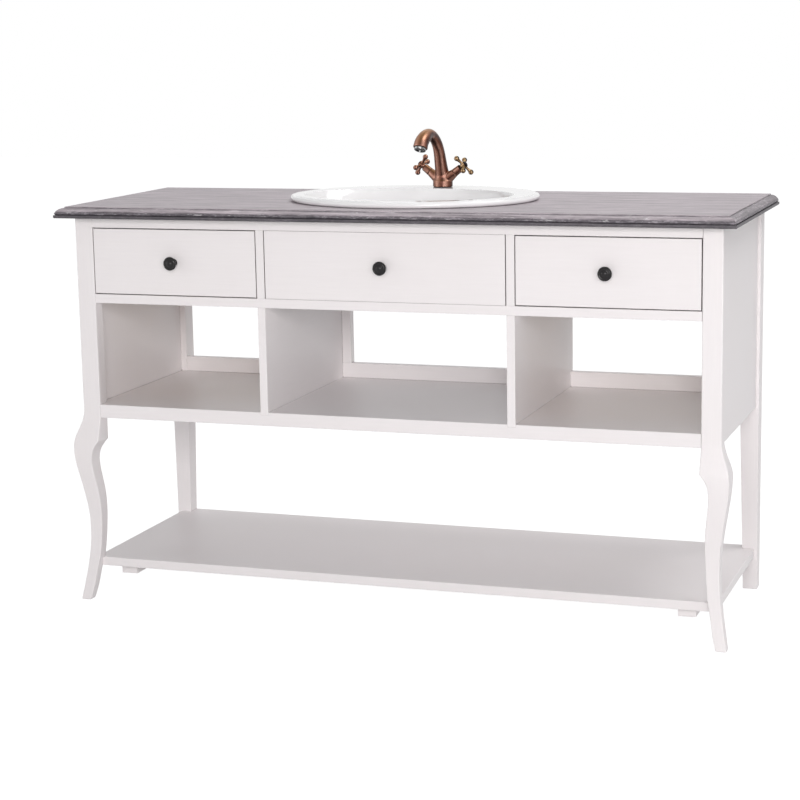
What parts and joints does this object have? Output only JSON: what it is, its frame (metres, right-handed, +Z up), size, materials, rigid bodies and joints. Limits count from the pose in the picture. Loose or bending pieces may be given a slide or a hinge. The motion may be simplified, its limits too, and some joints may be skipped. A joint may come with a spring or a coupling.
{
  "type": "washstand",
  "caption": "Painted washstand with cabriole front legs, drawers over open cubbies, a lower shelf and a moulded top with an oval drop-in basin and a raised-arm mixer tap.",
  "frame": {"origin": "on the floor, under the middle of the overall width and depth", "axes": "+X along the width to the viewer's right, +Y from the front to the wall, +Z up"},
  "size_m": [1.5, 0.54, 1.0428],
  "materials": {
    "white_paint": "satin white paint on wood",
    "grey_top": "washed grey stain with worn edges, satin",
    "bare_wood": "bare planed softwood and hardwood",
    "black_knob": "near-black satin enamel",
    "glazed_ceramic": "opaque white glaze",
    "copper": "aged copper plate, satin",
    "brass": "turned brass",
    "chrome": "polished",
    "rubber": "matt",
    "zinc_steel": "zinc plated"
  },
  "bodies": {
    "root": {"aerator": "chrome", "basin": "glazed_ceramic", "basin_clips": "zinc_steel", "basin_seal": "rubber", "bonnets": "copper", "drawer_rail": "white_paint", "false_front": "white_paint", "false_front_cleats": "bare_wood", "false_front_knob": "black_knob", "front_left_leg": "white_paint", "front_right_leg": "white_paint", "left_bearer": "white_paint", "left_divider": "white_paint", "left_inner_runner": "bare_wood", "left_outer_runner": "bare_wood", "left_rear_stile": "white_paint", "left_side_panel": "white_paint", "lower_shelf": "white_paint", "mid_shelf": "white_paint", "rear_left_leg": "white_paint", "rear_right_leg": "white_paint", "rear_shelf_rail": "white_paint", "rear_top_rail": "white_paint", "right_bearer": "white_paint", "right_divider": "white_paint", "right_inner_runner": "bare_wood", "right_outer_runner": "bare_wood", "right_rear_stile": "white_paint", "right_side_panel": "white_paint", "tap_body": "copper", "tap_clamp_plate": "zinc_steel", "tap_gasket": "rubber", "tap_nut": "brass", "tap_stud": "brass", "top_front_rail": "white_paint", "waste_body": "chrome", "waste_guide": "chrome", "waste_nut": "chrome", "waste_seals": "rubber", "wood_screws": "zinc_steel", "worktop": "grey_top", "worktop_brackets": "zinc_steel"},
    "left_drawer": {"left_drawer_back": "bare_wood", "left_drawer_bottom": "bare_wood", "left_drawer_front": "white_paint", "left_drawer_inner_side": "bare_wood", "left_drawer_knob": "black_knob", "left_drawer_outer_side": "bare_wood"},
    "right_drawer": {"right_drawer_back": "bare_wood", "right_drawer_bottom": "bare_wood", "right_drawer_front": "white_paint", "right_drawer_inner_side": "bare_wood", "right_drawer_knob": "black_knob", "right_drawer_outer_side": "bare_wood"},
    "hot_handle": {"hot_handle": "copper", "hot_spindle": "brass"},
    "cold_handle": {"cold_handle": "copper", "cold_spindle": "brass"},
    "waste_plug": {"waste_plug": "chrome"}
  },
  "joints": [
    {"name": "left_drawer_slide", "type": "slide", "parent": "root", "child": "left_drawer", "axis": [0, -1, 0], "range_m": [0, 0.3]},
    {"name": "right_drawer_slide", "type": "slide", "parent": "root", "child": "right_drawer", "axis": [0, -1, 0], "range_m": [0, 0.3]},
    {"name": "hot_handle_turn", "type": "hinge", "parent": "root", "child": "hot_handle", "pos_m": [-0.00014, 0.18859, 0.9183], "axis": [-0.8011, 0.1126, 0.5878], "range_deg": [0, 90]},
    {"name": "cold_handle_turn", "type": "hinge", "parent": "root", "child": "cold_handle", "pos_m": [-0.00014, 0.18859, 0.9183], "axis": [0.8011, -0.1126, 0.5878], "range_deg": [-90, 0]},
    {"name": "waste_plug_slide", "type": "slide", "parent": "root", "child": "waste_plug", "axis": [0, 0, 1], "range_m": [0, 0.008]}
  ]
}
